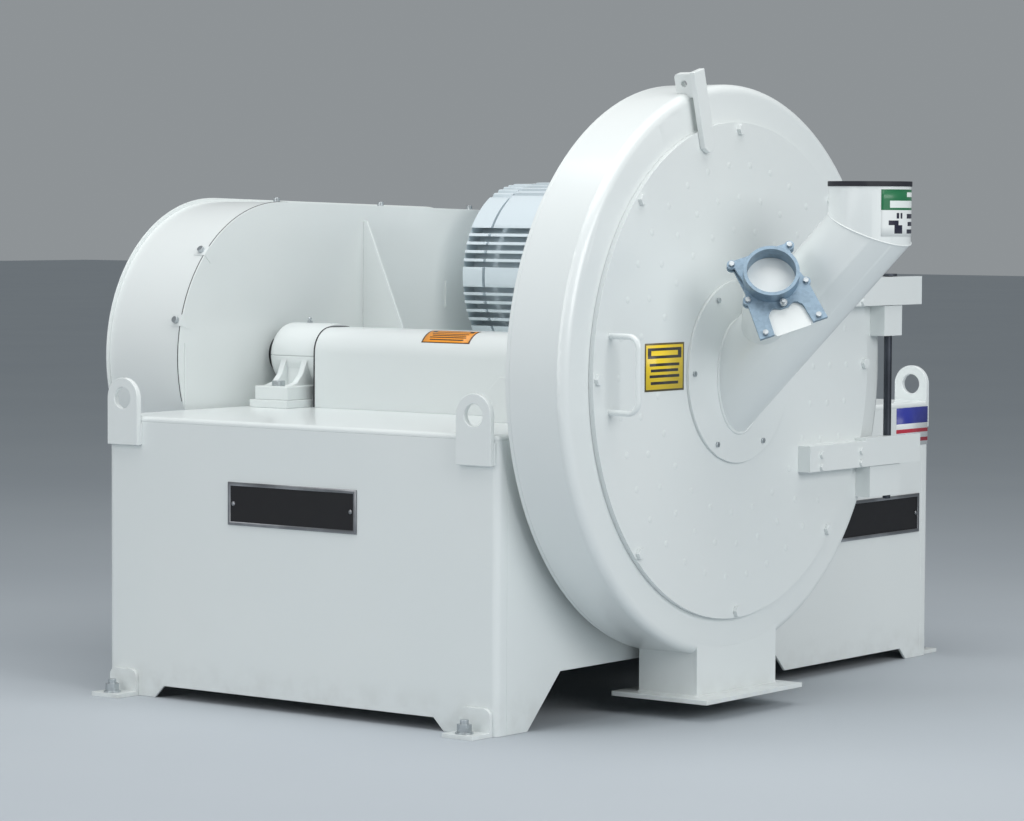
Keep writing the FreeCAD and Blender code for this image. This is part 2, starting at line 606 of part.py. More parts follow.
def bearings():
    risers, lowers, caps, inserts = [], [], [], []
    half, seat_z = "foot_deep / 2", "base_high + riser_thick"
    for y, near, outward in (("rear_bearing", "guard_back + 3", BACK),
                             ("front_bearing", "guard_front - 3", FORWARD)):
        at = ("mill_x", y)
        start = ("mill_x", f"{y} - {half}", "mill_z")
        risers.append(block(at, "foot_long / 2 + 10", f"{half} + 6", "base_high", seat_z))
        foot = block(at, "foot_long / 2", half, seat_z, f"{seat_z} + foot_thick")
        long = f"abs({y} - ({near})) + bearing_reach"
        housing = turned([("shaft_radius + 2", 0), ("cap_radius", 0), ("cap_radius", long, 20),
                          ("shaft_radius + 2", long)], ("mill_x", near, "mill_z"), outward)
        body = block(at, 62, f"{half} - 14", seat_z, "mill_z")
        seat_bore = cylinder(start, "insert_radius", "foot_deep", BACK)
        lowers.append(cut(fuse(foot, body, housing, *pillow_ribs(y)), seat_bore,
                          block(at, 150, 120, "mill_z", "mill_z + 100"),
                          cylinder(("mill_x", f"{y} - 100", "mill_z"), "shaft_radius + 2", 200, BACK)))
        caps.append(cut(housing, seat_bore, block(at, 150, 120, "mill_z - 100", "mill_z")))
        inserts.append(tube(start, "insert_radius", "shaft_radius + 0.05", "foot_deep", BACK))
    node("bearing_risers", group(*risers))
    node("bearing_bases", group(*lowers))
    node("bearing_caps", group(*caps))
    node("bearing_inserts", group(*inserts))
    cover = slab("XZ", guard_outline(0), "guard_front", "guard_back - guard_front")
    hollow = slab("XZ", guard_outline("guard_wall"), "guard_front - 1", "guard_back - guard_front + 2")
    node("shaft_guard", cut(cover, hollow))


def guard_outline(wall):
    half, top, bend = f"guard_half - {wall}", f"guard_top - {wall}", f"52 - {wall}"
    foot = "base_high" if wall == 0 else "base_high - 1"
    return [(f"mill_x - ({half})", foot), (f"mill_x + ({half})", foot),
            (f"mill_x + ({half})", top, bend), (f"mill_x - ({half})", top, bend)]


# ---------------------------------------------------------------- belt drive
def loop_plate(start, thick, big, small):
    """Plate whose outline wraps round the mill and motor axes at two radii."""
    body = doc.addObject("PartDesign::Body", "Loop")
    sketch = new_sketch(body, "XZ")
    mill = Vector(val("mill_x"), val("mill_z"), 0)
    motor = Vector(val("motor_x"), val("motor_z"), 0)
    along = motor - mill
    spread = math.acos((val(big) - val(small)) / along.Length)
    along.normalize()
    side = Vector(-along.y, along.x, 0)
    upper = along * math.cos(spread) + side * math.sin(spread)
    lower = along * math.cos(spread) - side * math.sin(spread)
    large, little = val(big), val(small)
    sketch.addGeometry(Part.LineSegment(mill + upper * large, motor + upper * little))
    sketch.addGeometry(Part.Arc(motor + upper * little, motor + along * little, motor + lower * little))
    sketch.addGeometry(Part.LineSegment(motor + lower * little, mill + lower * large))
    sketch.addGeometry(Part.Arc(mill + lower * large, mill - along * large, mill + upper * large))
    pad = body.newObject("PartDesign::Pad", "Thickness")
    pad.Profile = sketch
    bind(pad, Length=thick)
    pad.Reversed = True
    body.setExpression(".Placement.Base.y", expr(start))
    return body


def belt_drive():
    front = loop_plate("belt_front", "belt_wall", "guard_mill", "guard_motor")
    holes = (cylinder(("mill_x", "belt_front - 1", "mill_z"), "shaft_radius + 3", "belt_wall + 2", BACK),
             cylinder(("motor_x", "belt_front - 1", "motor_z"), "motor_shaft_radius + 18", "belt_wall + 2", BACK))
    node("belt_guard_front", cut(front, *holes))
    deep = "belt_back - belt_front - 2 * belt_wall"
    outer = loop_plate("belt_front + belt_wall", deep, "guard_mill", "guard_motor")
    inner = loop_plate("belt_front + belt_wall - 1", f"{deep} + 2", "guard_mill - belt_wall",
                       "guard_motor - belt_wall")
    node("belt_guard_band", cut(outer, inner))
    node("belt_guard_back", loop_plate("belt_back - belt_wall", "belt_wall",
                                       "guard_mill + 8", "guard_motor + 8"))
    heads = []
    for degrees in (90, 137, 166):
        angle = math.radians(degrees)
        outward = Vector(math.cos(angle), 0, math.sin(angle))
        heads.append(cylinder(on_circle("mill", "guard_mill + 0.1", degrees, "belt_front + 14"), 7, 9, outward))
    across, up = val("motor_x - mill_x"), val("motor_z - mill_z")
    spread = math.acos(val("guard_mill - guard_motor") / math.hypot(across, up))
    rise = math.pi / 2 - math.atan2(up, across) - spread
    for x in (108, 423):
        surface = f"mill_z + guard_mill / {math.cos(rise):.6f} - (({x}) - mill_x) * {math.tan(rise):.6f} + 0.1"
        heads.append(cylinder((x, "belt_front + 14", surface), 7, 9, Vector(math.sin(rise), 0, math.cos(rise))))
    node("belt_guard_clips", group(*heads))
    wheel("motor_sheave", "motor", "motor_wheel", "motor_shaft_radius")
    track = 1.5
    belts = []
    for row in range(4):
        start = f"wheel_y - wheel_wide / 2 + 5.5 + {10 * row}"
        band = loop_plate(start, 9, "mill_wheel - 2", "motor_wheel - 2")
        void = loop_plate(f"{start} - 1", 11, f"mill_wheel - belt_thick - {track}",
                          f"motor_wheel - belt_thick - {track}")
        belts.append(cut(band, void))
    node("drive_belts", group(*belts))


# ---------------------------------------------------------------- motor
MOTOR_MIDDLE = 290
FOOT_SPREAD_X, FOOT_SPREAD_Y = 159, 152.5


def fin_slots(start, stop):
    """Gaps between straight cooling fins: level at the sides, upright above and below."""
    long = f"({stop}) - ({start}) + 2"
    slots = []
    for row in range(-6, 6):
        if row in (-1, 0):
            continue
        middle = f"({row} + 0.5) * fin_pitch"
        deep = f"fin_radius + 2 - {abs(row + 0.5)} * fin_pitch"
        for side in (-1, 1):
            level = "motor_x - fin_radius - 2" if side < 0 else f"motor_x + {abs(row + 0.5)} * fin_pitch"
            slots.append(box((level, f"{start} - 1", f"motor_z + {middle} - fin_gap / 2"),
                             (deep, long, "fin_gap")))
            upright = "motor_z - fin_radius - 2" if side < 0 else f"motor_z + {abs(row + 0.5)} * fin_pitch"
            slots.append(box((f"motor_x + {middle} - fin_gap / 2", f"{start} - 1", upright),
                             ("fin_gap", long, deep)))
    return slots


def motor_feet():
    feet = []
    for x in (-FOOT_SPREAD_X, FOOT_SPREAD_X):
        inward = -1 if x > 0 else 1
        for y in (-FOOT_SPREAD_Y, FOOT_SPREAD_Y):
            at = (f"motor_x + ({x})", f"{MOTOR_MIDDLE} + ({y})")
            web = (f"motor_x + ({x + 18 * inward})", at[1])
            feet += [block(at, 38, 38, "base_high + slide_high", "base_high + slide_high + 20"),
                     block(web, 12, 32, "base_high + slide_high", "motor_z - 30")]
    return feet


def motor():
    barrel = cylinder(("motor_x", "frame_front", "motor_z"), "fin_radius", "frame_back - frame_front", BACK)
    core = cylinder(("motor_x", "frame_front - 2", "motor_z"), "core_radius",
                    "frame_back - frame_front + 4", BACK)
    rails_room = block(("motor_x", MOTOR_MIDDLE), 260, 300, "base_high", "base_high + slide_high + 1")
    finned = cut(barrel, cut(fuse(*fin_slots("frame_front", "frame_back")), core), rails_room)
    neck = box(("motor_x + 100", 230, "motor_z - 40"), ("fin_radius - 100", 120, 80))
    bore = cylinder(("motor_x", "frame_front - 1", "motor_z"), "motor_shaft_radius + running_gap",
                    "frame_back - frame_front + 2", BACK)
    node("motor_frame", cut(fuse(finned, neck, *motor_feet()), bore))
    node("motor_terminal_box", box(("motor_x + fin_radius", 215, "motor_z - 55"), (80, 150, 130)))
    bell_deep = "hub_back - frame_back"
    bell = turned([("motor_shaft_radius + running_gap", 0), ("core_radius", 0), ("core_radius", 10),
                   ("fin_radius - 3", 10), ("fin_radius - 3", "bell_back - frame_back"),
                   (110, f"{bell_deep} - 14"), (90, bell_deep), ("motor_shaft_radius + running_gap", bell_deep)],
                  ("motor_x", "frame_back", "motor_z"), BACK)
    bell_core = cylinder(("motor_x", "frame_back - 1", "motor_z"), "core_radius",
                         "hub_back - frame_back + 2", BACK)
    node("motor_drive_bell", cut(bell, cut(fuse(*fin_slots("frame_back + 9", "bell_back")), bell_core)))
    cup = turned([("fin_radius", 0, 20), ("fin_radius", 80), ("fin_radius - 3", 80), ("fin_radius - 3", 3, 17),
                  (40, 3), (40, 0)], ("motor_x", "cowl_front", "motor_z"), BACK)
    spokes = [block(("motor_x", "cowl_front + 1"), 200, 4, "motor_z - 8", "motor_z + 8"),
              block(("motor_x", "cowl_front + 1"), 8, 4, "motor_z - 200", "motor_z + 200")]
    vents = [tube(("motor_x", "cowl_front - 1", "motor_z"), r + 9, r, 5, BACK) for r in (60, 84, 108, 132, 156)]
    node("motor_fan_cowl", cut(cup, cut(fuse(*vents), *spokes)))
    rails = []
    for y in (-FOOT_SPREAD_Y, FOOT_SPREAD_Y):
        at = ("motor_x", f"{MOTOR_MIDDLE} + ({y})")
        rails.append(cut(block(at, 255, 44, "base_high", "base_high + slide_high"),
                         block(at, 260, 34, "base_high - 1", "base_high + slide_high - 10")))
    node("motor_slide_rails", group(*rails))
    node("motor_shaft", cylinder(("motor_x", 25, "motor_z"), "motor_shaft_radius", "shaft_end - 28", BACK))
    hub = tube(("motor_x", 32, "motor_z"), 48, "motor_shaft_radius", 42, BACK)
    blades = [hub, tube(("motor_x", 70, "motor_z"), 185, "motor_shaft_radius", 4, BACK)]
    for step in range(8):
        blade = doc.addObject("Part::Box", "Blade")
        blade.Length, blade.Width, blade.Height = 140, 40, 4
        blade.Placement = (Placement(Vector(val("motor_x"), 32, val("motor_z")), Rotation(BACK, 45 * step)) *
                           Placement(Vector(42, 0, -2), Rotation()))
        blades.append(blade)
    node("motor_fan", fuse(*blades))


def mounting_bolts():
    """Hexagon heads holding the pillow blocks' feet and the motor's feet."""
    heads = []
    foot_top = "base_high + riser_thick + foot_thick"
    for y in ("rear_bearing", "front_bearing"):
        for x in (-116, 116):
            heads.append(hexagon((f"mill_x + ({x})", y, foot_top), 24, 11))
    for x in (-FOOT_SPREAD_X - 13, FOOT_SPREAD_X + 13):
        for y in (-FOOT_SPREAD_Y, FOOT_SPREAD_Y):
            heads.append(hexagon((f"motor_x + ({x})", f"{MOTOR_MIDDLE} + ({y})", "base_high + slide_high + 20"),
                                 30, 13))
    node("mounting_bolts", group(*heads))


# ---------------------------------------------------------------- build and write
for build in (base, base_fittings, housing, lock, hinge_posts, door, hinge_arms, gate, rotor, bearings,
              belt_drive, motor, mounting_bolts):
    build()
doc.recompute()

for item in doc.Objects:
    if "Invalid" in item.State or "Error" in item.State:
        raise RuntimeError(f"{item.Label}: {item.State}")
os.makedirs("parts", exist_ok=True)
for label, item in nodes.items():
    shape = item.Shape
    if shape.isNull() or not shape.isValid() or not shape.Solids:
        raise RuntimeError(f"{label}: bad shape")
    shape.exportStep(f"parts/{label}.step")
    print(f"{label:22s} {len(shape.Solids):3d} solids {shape.Volume / 1e6:9.3f} litres")
print(len(nodes), "nodes")
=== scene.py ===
import json
import math

import bmesh
import bpy
import numpy as np
from mathutils import Matrix, Vector


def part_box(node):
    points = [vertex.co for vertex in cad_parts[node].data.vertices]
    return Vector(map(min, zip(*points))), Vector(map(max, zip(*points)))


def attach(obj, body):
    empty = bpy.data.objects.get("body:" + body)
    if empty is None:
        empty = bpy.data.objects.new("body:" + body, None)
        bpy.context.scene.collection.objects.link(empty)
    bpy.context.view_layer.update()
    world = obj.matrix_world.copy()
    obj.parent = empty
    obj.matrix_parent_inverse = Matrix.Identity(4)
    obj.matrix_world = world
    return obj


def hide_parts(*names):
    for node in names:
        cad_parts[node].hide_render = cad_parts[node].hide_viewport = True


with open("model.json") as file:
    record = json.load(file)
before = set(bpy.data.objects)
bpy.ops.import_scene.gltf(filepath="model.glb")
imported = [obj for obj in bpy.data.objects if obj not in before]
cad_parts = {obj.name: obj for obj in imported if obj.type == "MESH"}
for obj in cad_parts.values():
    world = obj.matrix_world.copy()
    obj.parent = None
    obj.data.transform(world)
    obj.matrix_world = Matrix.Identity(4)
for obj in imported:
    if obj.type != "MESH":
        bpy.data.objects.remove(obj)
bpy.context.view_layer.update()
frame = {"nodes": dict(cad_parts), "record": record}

bl_info = {
    "name": "Impact mill",
    "version": (1, 0, 0),
    "blender": (4, 5, 0),
    "location": "View3D > Sidebar > Impact mill",
    "description": "Finishes an impact mill: enamelled sheet metal, castings, labels, welds and studio",
    "category": "Object",
}

RECORD = frame["record"]
SLOT_OF = {part["node"]: part["material_slot"] for part in RECORD["subparts"]}
BODY_OF = {node: body for body, nodes in RECORD["behaviour"]["bodies"].items() for node in nodes}
MM = 0.001


def joint_place(name):
    """Point on a joint's axis, in metres."""
    return next(Vector(j["pos_m"]) for j in RECORD["behaviour"]["joints"] if j["name"] == name)


MILL = joint_place("rotor_spin")
# Metres, as the part's source has them in millimetres
LABEL_SIZE = (0.127, 0.089)
LABEL_MIDDLE = (-0.483, 0.672)
SPOUT_RUN = 0.288
SPOUT_DROP = 0.015
TUBE_RADIUS = 0.0762
GUARD_BEND = 0.052
PIN_RINGS = (0.392, 0.330, 0.269)
PIN_PITCH = 0.072
LUG_SIDE = 0.770
LUG_FRONT, LUG_REAR = -0.272, 0.600
LUG_HALF = 0.040
# The camera that was fitted to the photograph
LENS_MM, SENSOR_MM = 123.6, 36.0
CAMERA_PLACE = (-5.831, -4.170, 0.9636)
CAMERA_RIGHT = (0.60250, -0.79811, 0.00483)
CAMERA_UP = (0.04298, 0.03849, 0.99834)


# ---------------------------------------------------------------- shader maths
class Field:
    """A socket of a material's node tree; arithmetic on it adds Math nodes."""

    def __init__(self, coat, socket):
        self.coat, self.socket = coat, socket

    def calc(self, operation, first, second=0.0):
        return self.coat.node("ShaderNodeMath", {"operation": operation}, {0: first, 1: second})

    def __add__(self, other):
        return self.calc("ADD", self, other)

    def __rsub__(self, other):
        return self.calc("SUBTRACT", other, self)

    def __mul__(self, other):
        return self.calc("MULTIPLY", self, other)

    def __gt__(self, other):
        return self.calc("GREATER_THAN", self, other)

    def __lt__(self, other):
        return self.calc("LESS_THAN", self, other)

    __radd__ = __add__
    __rmul__ = __mul__

    def between(self, low, high):
        """1 inside the band from low to high, 0 outside."""
        return (self > low) * (self < high)

    def ramp(self, low, high):
        """0 at low, 1 at high, smooth in between and held beyond."""
        return self.coat.node("ShaderNodeMapRange", {"interpolation_type": "SMOOTHSTEP"},
                              {"Value": self, "From Min": low, "From Max": high}, "Result")


class Coat:
    """One material: a Principled surface and the nodes that feed it."""

    def __init__(self, name, **fixed):
        self.material = bpy.data.materials.new(name)
        self.material.use_nodes = True
        self.tree = self.material.node_tree
        self.tree.nodes.clear()
        output = self.tree.nodes.new("ShaderNodeOutputMaterial")
        self.surface = self.tree.nodes.new("ShaderNodeBsdfPrincipled")
        self.tree.links.new(self.surface.outputs[0], output.inputs[0])
        for socket, value in fixed.items():
            self.surface.inputs[socket.replace("_", " ")].default_value = value

    def set_input(self, node, key, value):
        if isinstance(value, Field):
            self.tree.links.new(value.socket, node.inputs[key])
        elif value is not None:
            node.inputs[key].default_value = value

    def node(self, kind, settings=None, inputs=None, output=0):
        made = self.tree.nodes.new(kind)
        for name, value in (settings or {}).items():
            setattr(made, name, value)
        for key, value in (inputs or {}).items():
            self.set_input(made, key, value)
        return Field(self, made.outputs[output])

    def places(self, scale=(1, 1, 1)):
        """Object coordinates in metres, stretched by a scale."""
        place = self.node("ShaderNodeTexCoord", output="Object")
        return self.node("ShaderNodeMapping", {}, {"Vector": place, "Scale": scale})

    def noise(self, scale, detail=2.0, stretch=(1, 1, 1)):
        return self.node("ShaderNodeTexNoise", {}, {"Vector": self.places(stretch), "Scale": scale,
                                                    "Detail": detail}, "Fac")

    def height_above_floor(self):
        return self.node("ShaderNodeSeparateXYZ", {}, {0: self.places()}, "Z")

    def blend(self, factor, low, high):
        """Colour between two colours."""
        return self.node("ShaderNodeMix", {"data_type": "RGBA"}, {0: factor, 6: low, 7: high}, 2)

    def bump(self, height, strength, distance):
        normal = self.node("ShaderNodeBump", {}, {"Height": height, "Strength": strength,
                                                  "Distance": distance}, "Normal")
        self.feed("Normal", normal)

    def feed(self, socket, field):
        self.tree.links.new(field.socket, self.surface.inputs[socket])


def rgba(colour, gain=1.0):
    return (*[channel * gain for channel in colour[:3]], 1.0)


def enamel(name, colour, rough):
    """Sprayed gloss enamel: faint cool clouding, orange peel, painted shade in darker, rougher patches
    where it nears the floor.
    """
    coat = Coat(name, Coat_Weight=0.35, Coat_Roughness=0.12, IOR=1.5)
    cloud = coat.noise(1.7, 3)
    fine = coat.noise(22, 4)
    cool = rgba([colour[0] * 0.975, colour[1] * 0.985, colour[2] * 0.99])
    paint = coat.blend(cloud.ramp(0.35, 0.7), cool, rgba(colour))
    # Painted shade near the floor: darker grey patches within 10 cm of it, which also raise the roughness
    floor_shade = (1 - coat.height_above_floor().ramp(0.0, 0.10)) * fine.ramp(0.35, 0.75) * 0.28
    coat.feed("Base Color", coat.blend(floor_shade, paint, rgba((0.42, 0.42, 0.39))))
    coat.feed("Roughness", fine * 0.04 + cloud * 0.05 + floor_shade * 0.5 + rough)
    coat.bump(coat.noise(260, 2), 0.05, 0.0003)
    return coat.material


def plated(name, colour, rough, metal=0.95):
    """Zinc plate: crystal patches a few millimetres across with dulled, slightly blue cells."""
    coat = Coat(name, Metallic=metal)
    cells = coat.node("ShaderNodeTexVoronoi", {}, {"Vector": coat.places(), "Scale": 170.0}, "Color")
    patch = coat.node("ShaderNodeSeparateColor", {}, {0: cells}, 0)
    haze = coat.noise(60, 4)
    coat.feed("Base Color", coat.blend(patch * 0.5 + haze * 0.5, rgba(colour, 0.72), rgba(colour, 1.12)))
    coat.feed("Roughness", haze * 0.22 + patch * 0.10 + rough)
    coat.bump(haze + patch * 0.3, 0.12, 0.0004)
    return coat.material


def machined(name, colour, rough):
    """Turned steel: fine lines drawn out along the piece, with darker oiled patches."""
    coat = Coat(name, Metallic=1.0)
    lines = coat.noise(420, 2, (1.0, 0.03, 1.0))
    oil = coat.noise(9, 4)
    coat.feed("Base Color", coat.blend(oil.ramp(0.4, 0.65), rgba(colour, 0.6), rgba(colour)))
    coat.feed("Roughness", lines * 0.2 + oil * 0.12 + rough)
    coat.bump(lines, 0.15, 0.0003)
    return coat.material


def cast(name, colour):
    """Sand-cast iron: coarse grain with darker hollows."""
    coat = Coat(name, Metallic=0.6)
    grain, patch = coat.noise(320, 5), coat.noise(14, 3)
    coat.feed("Base Color", coat.blend(patch, rgba(colour, 0.6), rgba(colour, 1.2)))
    coat.feed("Roughness", grain * 0.25 + 0.45)
    coat.bump(grain, 0.5, 0.0008)
    return coat.material


def dull(name, colour, rough=0.6, bloom_tone=0.12):
    """Rubber or plastic: even colour, fine grain, a little bloom."""
    coat = Coat(name)
    bloom, grain = coat.noise(18, 4), coat.noise(500, 2)
    coat.feed("Base Color", coat.blend(bloom.ramp(0.45, 0.8) * 0.4, rgba(colour), rgba([bloom_tone] * 3)))
    coat.feed("Roughness", bloom * 0.2 + rough)
    coat.bump(grain, 0.2, 0.0003)
    return coat.material


# ---------------------------------------------------------------- meshes
def add_piece(name, mesh, body, finish):
    piece = bpy.data.objects.new(name, mesh)
    bpy.context.scene.collection.objects.link(piece)
    mesh.materials.clear()
    mesh.materials.append(finish)
    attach(piece, body)
    return piece


def smooth(mesh, degrees=32):
    mesh.polygons.foreach_set("use_smooth", np.ones(len(mesh.polygons), bool))
    mesh.set_sharp_from_angle(angle=math.radians(degrees))


def finished(node, edge, finish, degrees=32):
    """Copy of a CAD node with its flat faces joined and its edges eased, in place of the bare node."""
    mesh = frame["nodes"][node].data.copy()
    mesh.name = f"{node}_finished"
    work = bmesh.new()
    work.from_mesh(mesh)
    bmesh.ops.remove_doubles(work, verts=work.verts, dist=2e-6)
    bmesh.ops.dissolve_limit(work, angle_limit=math.radians(0.6), verts=work.verts, edges=work.edges)
    work.to_mesh(mesh)
    work.free()
    smooth(mesh, degrees)
    piece = add_piece(f"{node}_finished", mesh, BODY_OF[node], finish)
    if edge:
        bevel = piece.modifiers.new("Eased edges", "BEVEL")
        bevel.width, bevel.segments = edge * MM, 2
        bevel.limit_method, bevel.angle_limit = "ANGLE", math.radians(40)
        bevel.use_clamp_overlap = True
        bevel.harden_normals = True
    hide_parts(node)
    return piece


def grid_mesh(name, points, wrap_u=False, wrap_v=False):
    """Mesh from points [rows, columns, 3], with a UV map that runs 0 to 1 along columns and rows."""
    rows, columns = points.shape[:2]
    index = np.arange(rows * columns).reshape(rows, columns)
    right = np.roll(index, -1, 1) if wrap_u else index[:, 1:]
    left = index if wrap_u else index[:, :-1]
    if not wrap_v:
        left_low, right_low = left[:-1], right[:-1]
        left_high, right_high = left[1:], right[1:]
    else:
        left_low, right_low = left, right
        left_high, right_high = np.roll(left, -1, 0), np.roll(right, -1, 0)
    faces = np.stack([left_low, right_low, right_high, left_high], -1).reshape(-1, 4)
    mesh = bpy.data.meshes.new(name)
    mesh.from_pydata(points.reshape(-1, 3).tolist(), [], faces.tolist())
    u, v = np.meshgrid(np.linspace(0, 1, columns), np.linspace(0, 1, rows))
    flat = np.stack([u.ravel(), v.ravel()], -1)
    layer = mesh.uv_layers.new(name="UVMap")
    layer.data.foreach_set("uv", flat[faces.ravel()].ravel().astype(np.float32))
    mesh.validate()
    return mesh


def tube_mesh(name, centre, radius, sides=12, closed=False, reference=(0, 0, 1)):
    """Round bar along a path: each ring is the centre plus radius times cosine and sine of two normals."""
    ahead = np.roll(centre, -1, 0) - np.roll(centre, 1, 0)
    if not closed:
        ahead[0], ahead[-1] = centre[1] - centre[0], centre[-1] - centre[-2]
    ahead /= np.linalg.norm(ahead, axis=1, keepdims=True)
    side = np.cross(ahead, np.array(reference, float))
    side /= np.linalg.norm(side, axis=1, keepdims=True)
    up = np.cross(side, ahead)
    angle = np.linspace(0, 2 * np.pi, sides, endpoint=False)
    ring = (np.cos(angle)[None, :, None] * side[:, None] + np.sin(angle)[None, :, None] * up[:, None])
    points = centre[:, None] + ring * np.broadcast_to(radius, len(centre))[:, None, None]
    mesh = grid_mesh(name, points, wrap_u=True, wrap_v=closed)
    if not closed:
        work = bmesh.new()
        work.from_mesh(mesh)
        bmesh.ops.holes_fill(work, edges=work.edges)
        work.to_mesh(mesh)
        work.free()
    smooth(mesh, 60)
    return mesh


def face_outward(mesh):
    work = bmesh.new()
    work.from_mesh(mesh)
    bmesh.ops.recalc_face_normals(work, faces=work.faces)
    work.to_mesh(mesh)
    work.free()


def sticker(name, points, body, finish, thick=0.5):
    """Printed vinyl patch: a grid of points on a surface, given a small thickness outwards."""
    mesh = grid_mesh(name, points)
    smooth(mesh, 60)
    piece = add_piece(name, mesh, body, finish)
    film = piece.modifiers.new("Film", "SOLIDIFY")
    film.thickness, film.offset = thick * MM, 1.0
    return piece


def flat_patch(corner, across, upward, columns=2, rows=2):
    """Rectangle: corner plus u times one side plus v times the other."""
    u, v = np.meshgrid(np.linspace(0, 1, columns), np.linspace(0, 1, rows))
    return (np.array(corner) + u[..., None] * np.array(across) + v[..., None] * np.array(upward))


# ---------------------------------------------------------------- settings
def finish_groups(*groups):
    """Ease and paint CAD nodes: each group is an edge size in millimetres, a material and its nodes."""
    for edge, material, names in groups:
        for name in names:
            finished(name, edge, material)


def colour(name, description, default):
    return bpy.props.FloatVectorProperty(name=name, description=description, subtype="COLOR", size=3,
                                         min=0.0, max=1.0, default=default)


class MillColours(bpy.types.PropertyGroup):
    """Paint and print colours."""
    enamel: colour("Enamel", "Gloss paint of the sheet metal", (0.80, 0.835, 0.825))
    motor: colour("Motor", "Paint of the motor", (0.72, 0.80, 0.84))
    zinc: colour("Zinc", "Plated screws and nuts", (0.56, 0.60, 0.62))
    gate: colour("Gate casting", "Blue-grey plated gate", (0.29, 0.39, 0.48))
    caution: colour("Caution yellow", "Door label", (0.93, 0.66, 0.02))
    warning: colour("Warning orange", "Shaft guard label", (0.92, 0.34, 0.02))
    notice: colour("Notice green", "Inlet label", (0.01, 0.16, 0.06))


class MillSizes(bpy.types.PropertyGroup):
    """Sizes of what is added to the frame."""
    weld: bpy.props.FloatProperty(name="Weld size", description="Radius of a weld bead", default=0.003,
                                  unit="LENGTH")
    pin_mark: bpy.props.FloatProperty(name="Pin mark", description="Radius of a pin's end on the door",
                                      default=0.0070, unit="LENGTH")
    film: bpy.props.FloatProperty(name="Label film", description="Thickness of a label", default=0.0005,
                                  unit="LENGTH")


FINISHES = {}


def make_finishes(tones):
    """All materials, made once and shared by name."""
    FINISHES.update({
        "enamel": enamel("White enamel", tones.enamel, 0.26),
        "motor": enamel("Motor paint", tones.motor, 0.34),
        "zinc": plated("Zinc plate", tones.zinc, 0.22),
        "gate": plated("Gate plating", tones.gate, 0.30, 0.75),
        "steel": machined("Machined steel", (0.42, 0.43, 0.45), 0.24),
        "pin": machined("Dark pin steel", (0.10, 0.11, 0.13), 0.30),
        "iron": cast("Grey iron", (0.16, 0.165, 0.17)),
        # Black rubber edging, also used for the painted shade line at the shaft guard's rear end
        "edging": dull("Black edging and shade line", (0.012, 0.013, 0.02)),
        "belt": dull("Belt rubber", (0.02, 0.02, 0.02), 0.7),
        "fan": dull("Fan plastic", (0.03, 0.03, 0.03), 0.5),
    })


class MILL_OT_finishes(bpy.types.Operator):
    """Make the materials and paint every CAD node with the one of its slot"""
    bl_idname = "mill.finishes"
    bl_label = "Finishes"

    def execute(self, context):
        make_finishes(context.scene.mill_colours)
        by_slot = {"white_enamel": "enamel", "zinc_steel": "zinc", "machined_steel": "steel",
                   "grey_iron": "iron", "motor_paint": "motor", "gate_casting": "gate",
                   "plate_metal": "steel", "black_edging": "edging", "belt_rubber": "belt",
                   "fan_plastic": "fan"}
        for name, part in frame["nodes"].items():
            part.data.materials.clear()
            part.data.materials.append(FINISHES[by_slot[SLOT_OF[name]]])
        return {"FINISHED"}


class MILL_OT_base(bpy.types.Operator):
    """Panels, lugs and feet of the base"""
    bl_idname = "mill.base"
    bl_label = "Base"

    def execute(self, context):
        white, zinc = FINISHES["enamel"], FINISHES["zinc"]
        finish_groups((0, white, ["base_top_plate"]),
                      (1.2, white, ["base_left_side", "base_right_side", "base_front_panel",
                                    "base_rear_panel"]),
                      (1.5, white, ["lifting_lugs", "foot_clips"]),
                      (0.8, zinc, ["anchor_studs", "anchor_nuts"]))
        return {"FINISHED"}


class MILL_OT_housing(bpy.types.Operator):
    """Drum, back plate, chute, flange, gussets and lock lug"""
    bl_idname = "mill.housing"
    bl_label = "Mill housing"

    def execute(self, context):
        white = FINISHES["enamel"]
        finish_groups((0.8, white, ["housing_front_ring", "housing_shell", "housing_back_plate",
                             "discharge_chute"]),
                      (1.2, white, ["discharge_flange", "gusset_plates"]), (2.0, white, ["lock_lug"]))
        return {"FINISHED"}


class MILL_OT_door(bpy.types.Operator):
    """Door, feed plate, spout, handle, lock bar and their fasteners"""
    bl_idname = "mill.door"
    bl_label = "Door"

    def execute(self, context):
        white = FINISHES["enamel"]
        finish_groups((1.6, white, ["door_plate"]), (1.2, white, ["feed_plate", "air_stub"]),
                      (0.6, white, ["feed_spout"]), (0, white, ["door_handle"]),
                      (1.5, white, ["lock_bar", "hinge_arms"]), (0.8, white, ["door_clamp_bolts"]),
                      (0.6, white, ["hinge_arm_bolts"]), (0.8, FINISHES["zinc"], ["door_screws"]),
                      (0.6, FINISHES["edging"], ["inlet_rim"]))
        return {"FINISHED"}


class MILL_OT_hinge(bpy.types.Operator):
    """Hinge posts and pin"""
    bl_idname = "mill.hinge"
    bl_label = "Hinge"

    def execute(self, context):
        finish_groups((1.6, FINISHES["enamel"], ["hinge_knuckles"]), (1.0, FINISHES["pin"], ["hinge_pin"]))
        return {"FINISHED"}


class MILL_OT_gate(bpy.types.Operator):
    """Slide gate on the air stub"""
    bl_idname = "mill.gate"
    bl_label = "Slide gate"

    def execute(self, context):
        finish_groups((1.1, FINISHES["gate"], ["gate_frame", "gate_rear_plate"]),
                      (0.5, FINISHES["enamel"], ["gate_slide"]))
        return {"FINISHED"}


